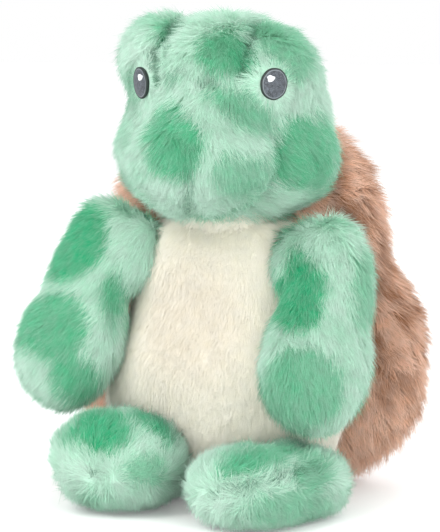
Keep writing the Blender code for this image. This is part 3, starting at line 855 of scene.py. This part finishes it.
def head_crease_shade(points):
    """How much painted shade the creases get: the forehead's and the pinch between the eyes most.
    """
    broken = 0.75 + 0.35 * ripple(points, 0.005, 78)
    lines = sum(close_to(points, line, 4.2) for line in BROW_LINES)
    pinch = close_to(points, [(204, 79), (212, 84)], 5.0)
    pinch = pinch + 0.6 * close_to(points, [(183, 70), (167, 80)], 3.5)
    mouth = 0.75 * close_to(points, [(189, 168), (190, 188), (189, 214)], 2.8)
    mouth += 0.6 * close_to(points, [(279, 130), (279, 165), (268, 194)], 3.0)
    return np.clip(0.9 * (lines + pinch + mouth) * broken, 0, 0.9)


def in_gusset(points):
    return (np.abs(points[:, 0]) < GUSSET_HALF) & (points[:, 2] > GUSSET_BOTTOM)


def in_chin(points):
    return (points[:, 1] < CHIN_BACK) & (points[:, 2] < CHIN_TOP)


def on_side(side):
    return lambda points: (points[:, 0] * side > 0) & ~in_gusset(points) & ~in_chin(points)


pinch_of_brows = dimple(seen_at(HEAD, 208, 81), 0.0020, 0.0040)
HEAD_CREASES = [gusset_creases, cheek_creases, muzzle_seam, pinch_of_brows]
head_dents = [
    raised_at_eyes, *HEAD_CREASES, dimple(seen_at(HEAD, 326, 38), 0.0032, 0.012),
    dimple(seen_at(HEAD, 122, 172), 0.0026, 0.013),
]
head_seams = [
    ((GUSSET_HALF, 0, 0), (1, 0, 0)), ((-GUSSET_HALF, 0, 0), (1, 0, 0)),
    ((0, 0, GUSSET_BOTTOM), (0, 0, 1)), ((0, 0, CHIN_TOP), (0, 0, 1)),
    ((0, CHIN_BACK, 0), (0, 1, 0)), ((0, 0, 0), (1, 0, 0)),
]
head = dict(
    body="head", skin=Skin(HEAD, (190, 130), 0.0010, [TORSO], head_dents), material=MINT_PILE,
    flow=head_flow, seams=head_seams, length=0.0062, trim=head_trim, keep=head_keep,
    patch=patches(HEAD_PATCHES, HEAD_MIDDLE, 3, 16), crease_shade=head_crease_shade,
)
plush("head_gusset", region=in_gusset, seed=11, **head)
plush("chin_panel", region=in_chin, seed=12, **head)
plush("head_left_panel", region=on_side(1), seed=13, **head)
plush("head_right_panel", region=on_side(-1), seed=14, **head)

# Torso
SEAT_TOP, SIDE_SEAM = 0.009, 0.006


def belly_tone_and_shade(points, normals):
    """The belly's middle, a warmer and darker cream that fades to its sides: partly the pile's
    warmer tone, partly painted shade that evens out the light falling brightest there.
    """
    reach = np.sqrt((((in_picture(points) - [190, 322]) / [80, 88]) ** 2).sum(1))
    return smooth(reach, 1.1, 0.3) * (points[:, 1] < 0)


torso = dict(
    body="torso", skin=Skin(TORSO, (150, 110)), material=CREAM_PILE, flow=toward(0, 0, -1),
    seams=[((0, 0, SEAT_TOP), (0, 0, 1)), ((0, SIDE_SEAM, 0), (0, 1, 0))],
)
plush("belly_panel", region=lambda p: (p[:, 1] < SIDE_SEAM) & (p[:, 2] > SEAT_TOP), length=0.0048,
      density=7.0e6, spread=0.0008, gather=0.05, stray=0.06, lean=1.22, seed=21,
      patch=belly_tone_and_shade, **torso)
plush("back_panel", region=lambda p: (p[:, 1] > SIDE_SEAM) & (p[:, 2] > SEAT_TOP), length=0.0048,
      density=3.5e6, width=0.00036, seed=22, **torso)
plush("seat_panel", region=lambda p: p[:, 2] < SEAT_TOP, length=0.0035, density=4.0e6,
      width=0.0003, seed=23, **torso)

# Neck
NECK = Form((0.019, 0.019, 0.019), [((0, 0, 0), (1, 1, 1))], Matrix.Translation(NECK_POINT))
plush("neck_stuffing", "neck", Skin(NECK, (60, 40), 0.0008), CREAM_PILE, toward(0, -0.2, -1),
      [], everything, length=0.0030, density=5.0e6, seed=25)

# Arms
ARM_DIMPLES = {1: [(368, 224), (274, 220)], -1: [(28, 402)]}
for side, word in SIDES:
    form = ARMS[side]
    met = met_by(JOINTS[word + "_arm_lift"], [TORSO, HEAD])
    dents = [dimple(seen_at(form, *spot), 0.0032, 0.010) for spot in ARM_DIMPLES[side]]
    down = np.array(Vector(ARM_DIRECTIONS[side][0]).normalized())
    arm = dict(
        body=word + "_arm", skin=Skin(form, (110, 90), CLOTH_DEPTH, [*met, *LEGS.values()], dents),
        material=MINT_PILE, flow=toward(*(down + np.array([0.3 * side, 0, 0]))),
        seams=[(form.middle, form.turn[:, 1])],
        patch=patches(ARM_PATCHES[side], form.middle, 5 + side, 12),
    )
    outer, inner = word + "_arm_outer_panel", word + "_arm_inner_panel"
    plush(outer, region=lambda p: form.local(p)[:, 1] > 0, seed=31 + side, **arm)
    plush(inner, region=lambda p: form.local(p)[:, 1] < 0, seed=35 + side, **arm)

# Legs
SOLE_TOP = 0.013
FOOT_FOLDS = {1: ((209, 494), (323, 467)), -1: ((92, 472), (97, 477))}
# Where a shadow is painted on the right thigh, along a line in the picture.
THIGH_SHADOW_LINE = ((146, 410), (162, 420), (174, 438))


def foot_crease_shade(side, form):
    """How much painted shade the crease of a foot gets, and on the right leg the line above it."""

    def crease_shade(points):
        lines = close_to(points, FOOT_FOLDS[side], 2.6, form)
        lines = lines * (0.65 + 0.5 * ripple(points, 0.006, 77))
        if side < 0:
            lines += 0.55 * close_to(points, THIGH_SHADOW_LINE, 7.0, form)
        return np.clip(lines, 0, 0.85)

    return crease_shade


def from_toe(toe):
    """Pile combed away from the toe, up above the foot's seam and down below it."""

    def flow(points):
        swirl = np.stack([0.5 * ripple(points, 0.014, seed) for seed in (97, 98, 99)], 1)
        way = 0.4 * unit(points - toe)
        way[:, 2] += 0.6 * np.tanh((points[:, 2] - 0.014) / 0.004)
        return way + swirl

    return flow


for side, word in SIDES:
    form = LEGS[side]
    toe, end = (seen_at(form, *spot) for spot in FOOT_FOLDS[side])
    met = met_by(JOINTS[word + "_leg_splay"], [TORSO])
    dents = [dimple(toe, 0.0028, 0.005), fold_between(toe, end)]
    leg = dict(
        body=word + "_leg", skin=Skin(form, (110, 80), CLOTH_DEPTH, met, dents),
        material=MINT_PILE, flow=from_toe(toe), seams=[((0, 0, SOLE_TOP), (0, 0, 1))],
        length=0.0054, spread=0.0012, gather=0.1, stray=0.16, crease_shade=foot_crease_shade(side, form),
        patch=patches(LEG_PATCHES[side], form.middle, 8 + side, 10),
    )
    plush(word + "_leg_upper_panel", region=lambda p: p[:, 2] > SOLE_TOP, seed=41 + side, **leg)
    plush(word + "_leg_sole_panel", region=lambda p: p[:, 2] < SOLE_TOP, seed=45 + side, **leg)

# Shell
SHELL_RIM = -0.004


def shell_flow(points):
    """Outward from the shell's middle and down, in swirls."""
    way = points - np.array([0, 0.022, 0.085])
    way[:, 1] *= 0.2
    way = unit(way) * 0.8 + np.array([0, 0, -1.0])
    way[:, 0] += 0.35 * ripple(points, 0.03, 95)
    way[:, 2] += 0.35 * ripple(points, 0.03, 96)
    return way


def shell_patch(points, normals):
    """Blotches of the deeper tan, which grow rare towards the seat, so that the lower shell is
    painted paler against the shade there.
    """
    blotches = 0.15 + 0.75 * smooth(ripple(points, 0.012, 7), -0.6, 0.6)
    return blotches * smooth(points[:, 2], -0.01, 0.06)


def shell_crease_shade(points):
    """Painted shade on the pile in the gap between the shell and the left arm."""
    return 0.5 * close_to(points, [(322, 176), (338, 205), (356, 250), (372, 290)], 9.0, SHELL)


shell = dict(
    body="torso", skin=Skin(SHELL, (130, 84), 0.0036), material=TAN_PILE, flow=shell_flow,
    seams=[(SHELL.world(np.array([[0, SHELL_RIM, 0]]))[0], SHELL.turn[:, 1])],
    length=0.0095, density=5.2e6, width=0.00031, lean=1.02, tuft=26, spread=0.0018, gather=0.72,
    stray=0.24, tallest=0.0078, keep=lambda root, *_: ~TORSO.holds(root, -0.002),
    patch=shell_patch, crease_shade=shell_crease_shade,
)
plush("shell_top_panel", region=lambda p: SHELL.local(p)[:, 1] > SHELL_RIM, seed=51, **shell)
plush("shell_lining_panel", region=lambda p: SHELL.local(p)[:, 1] < SHELL_RIM, seed=52, **shell)

# Eyes
# A satin thread's width and a stitch's length.
THREAD, STITCH = 0.00034, 0.0016


def eye_material():
    """Embroidery thread: 'rim' picks the cord round the eye, 'ring' the paler line inside it."""
    looks = Looks("eye_thread_looks")
    noise, fine = looks.noise(900.0, 4.0), looks.noise(3200.0, 2.0)
    mottled = looks.ranged(noise, 0.38, 0.62, 0.0, 1.0)
    middle = looks.mixed(mottled, linear("1E2328"), linear("454B53"))
    middle = looks.mixed(looks.ranged(fine, 0.45, 0.7, 0.0, 0.6), middle, linear("6E747C"))
    ring = looks.mixed(looks.attribute("ring"), middle, linear("70787C"))
    return looks.finished({
        "Base Color": looks.mixed(looks.attribute("rim"), ring, linear("16211F")),
        "Roughness": looks.ranged(fine, *NOISE_RANGE, 0.35, 0.55),
        "Specular IOR Level": 0.5,
    })


def noisy_material(name, scale, detail, colours, rough):
    """Two colours and two roughnesses mixed by fine noise."""
    looks = Looks(name)
    noise = looks.noise(scale, detail)
    return looks.finished({
        "Base Color": looks.mixed(looks.ranged(noise, 0.35, 0.65, 0.0, 1.0), *map(linear, colours)),
        "Roughness": looks.ranged(noise, *NOISE_RANGE, *rough),
    })


def pad(node, name, place, halves, height, skirt, material, outline, rings=70):
    """An embroidered pad: satin threads over a domed oval, with a skirt down to the cloth."""
    point, across, up, normal = place
    around = rings * 3
    share = np.concatenate([np.linspace(0, 1, rings + 1)[1:], [1.0, 1.0]])
    turn = np.arange(around) * 2 * math.pi / around
    share_grid, turn_grid = np.meshgrid(share, turn, indexing="ij")
    bound = outline(turn_grid)
    x = share_grid * bound * np.cos(turn_grid) * halves[0]
    y = share_grid * bound * np.sin(turn_grid) * halves[1]
    dome = height * np.sqrt(np.clip(1 - share_grid**2 * 0.985, 0, 1))
    slant = y + 0.15 * x
    stitch = np.abs(np.sin(math.pi * slant / THREAD))
    ends = np.abs(np.sin(math.pi * (x / STITCH + 0.37 * np.floor(slant / THREAD))))
    rise = 0.00007 * np.sqrt(stitch) * np.clip(ends * 3, 0, 1)
    rim_zone = smooth(share_grid, 0.90, 0.93)
    ring_zone = smooth(share_grid, 0.83, 0.86) * smooth(share_grid, 0.91, 0.88)
    spokes = 0.00010 * np.abs(np.sin(turn_grid * around / 4))
    z = dome + rise * (1 - rim_zone) + rim_zone * (0.00016 + spokes)
    z[-2] = -0.0004
    z[-1] = -skirt
    x[-1], y[-1] = x[-1] * 0.9, y[-1] * 0.9
    flat = np.stack([x, y, z], -1).reshape(-1, 3)
    flat = np.concatenate([[[0, 0, height]], flat, [[0, 0, -skirt]]])
    points = point + flat @ np.stack([across, up, normal])
    faces = []
    last = 1 + (len(share) - 1) * around
    for i in range(around):
        j = (i + 1) % around
        faces.append((0, 1 + i, 1 + j))
        for a in range(1, last, around):
            b = a + around
            faces.append((a + i, b + i, b + j, a + j))
        faces.append((last + i, len(points) - 1, last + j))
    mesh = bpy.data.meshes.new(name)
    mesh.from_pydata(points.tolist(), [], faces)
    give_values(mesh, {"rim": [[0], rim_zone.ravel(), [1]], "ring": [[0], ring_zone.ravel(), [1]]})
    mesh.polygons.foreach_set("use_smooth", np.ones(len(faces), bool))
    obj = riding(name, mesh, material, "head")
    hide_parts(node)


EYE_DOME, EYE_SKIRT = 0.0009, 0.0011
GLINT_HALVES, GLINT_DOME, GLINT_SKIRT = (0.0013, 0.0011), 0.0005, 0.0004
GLINT_ASIDE, GLINT_UP = 0.0017, 0.0020
eye_thread = eye_material()
glint_thread = noisy_material(
    "glint_thread_looks", 2500.0, 2.0, ("DADDE2", "FFFFFF"), (0.3, 0.5)
)
for side, word in SIDES:
    point, across, up, normal = EYES[side]
    pad(word + "_eye", word + "_eye_embroidery", EYES[side], EYE_HALVES, EYE_DOME, EYE_SKIRT,
        eye_thread, lambda turn: 1 + 0.008 * np.sin(turn * 7))
    spot = point - side * across * GLINT_ASIDE + up * GLINT_UP + normal * EYE_DOME
    pad(word + "_eye_glint", word + "_eye_glint_stitches", (spot, across, up, normal),
        GLINT_HALVES, GLINT_DOME, GLINT_SKIRT, glint_thread,
        lambda turn: 1 + 0.12 * np.sin(turn * 3 + 1) + 0.06 * np.sin(turn * 5), rings=24)

# What lies inside
fibre = noisy_material("stuffing_looks", 420.0, 6.0, ("E4E4E0", "F7F7F5"), (0.75, 0.95))
pouch = noisy_material("pouch_looks", 1500.0, 6.0, ("CFC8B8", "E2DCCF"), (0.75, 0.95))
for name, node in frame["nodes"].items():
    inside = name.endswith(("_stuffing", "_padding")) and name != "neck_stuffing"
    if inside or name == "pellet_pouch":
        node.data.materials.clear()
        node.data.materials.append(pouch if name == "pellet_pouch" else fibre)

# Floor, light and camera
FLOOR_GLOW = 0.15


def floor_material():
    """A pale floor that glows a little for what the camera, a reflection or glass sees."""
    looks = Looks("floor_white")
    kinds = ("Camera", "Glossy", "Transmission")
    rays = [looks.node("LightPath", {}, f"Is {kind} Ray") for kind in kinds]
    seen = looks.joined("MAXIMUM", looks.joined("MAXIMUM", rays[0], rays[1]), rays[2])
    return looks.finished({
        "Base Color": (0.9, 0.9, 0.9),
        "Roughness": 0.9,
        "Emission Color": (1.0, 1.0, 1.0),
        "Emission Strength": looks.joined("MULTIPLY", seen, FLOOR_GLOW),
    })


def lamp(name, place, size, power):
    """A round soft lamp that points at the toy's middle."""
    light = bpy.data.lights.new(name, "AREA")
    light.shape = "DISK"
    light.size = size
    light.energy = power
    obj = bpy.data.objects.new(name, light)
    obj.location = place
    way = Vector((0, 0, 0.08)) - Vector(place)
    obj.rotation_euler = way.to_track_quat("-Z", "Y").to_euler()
    bpy.context.scene.collection.objects.link(obj)


bpy.ops.mesh.primitive_plane_add(size=12)
floor = bpy.context.object
floor.name = "floor"
floor.location.z = -0.0001
floor.data.materials.append(floor_material())

world = bpy.data.worlds.new("studio")
bpy.context.scene.world = world
world.use_nodes = True
background = world.node_tree.nodes["Background"]
background.inputs["Color"].default_value = (1, 1, 1, 1)
background.inputs["Strength"].default_value = 1.0

lamp("key_lamp", (-0.5, -0.9, 0.9), 0.8, 8.0)
lamp("fill_lamp", (0.9, -0.6, 0.5), 0.9, 5.0)
lamp("low_lamp", (0.12, -1.0, 0.03), 0.7, 6.5)
lamp("back_lamp", (0.3, 1.0, 0.9), 0.9, 5.0)

camera = bpy.data.cameras.new("camera")
camera.sensor_width = 36.0
camera.lens = FOCAL * 36.0 / HEIGHT
camera.clip_start, camera.clip_end = 0.01, 20.0
camera_object = bpy.data.objects.new("camera", camera)
camera_turn = Matrix((RIGHT, UP, BACK)).transposed().to_4x4()
camera_object.matrix_world = Matrix.Translation(EYE_POINT) @ camera_turn
bpy.context.scene.collection.objects.link(camera_object)
bpy.context.scene.camera = camera_object
bpy.context.scene.view_settings.view_transform = "Standard"
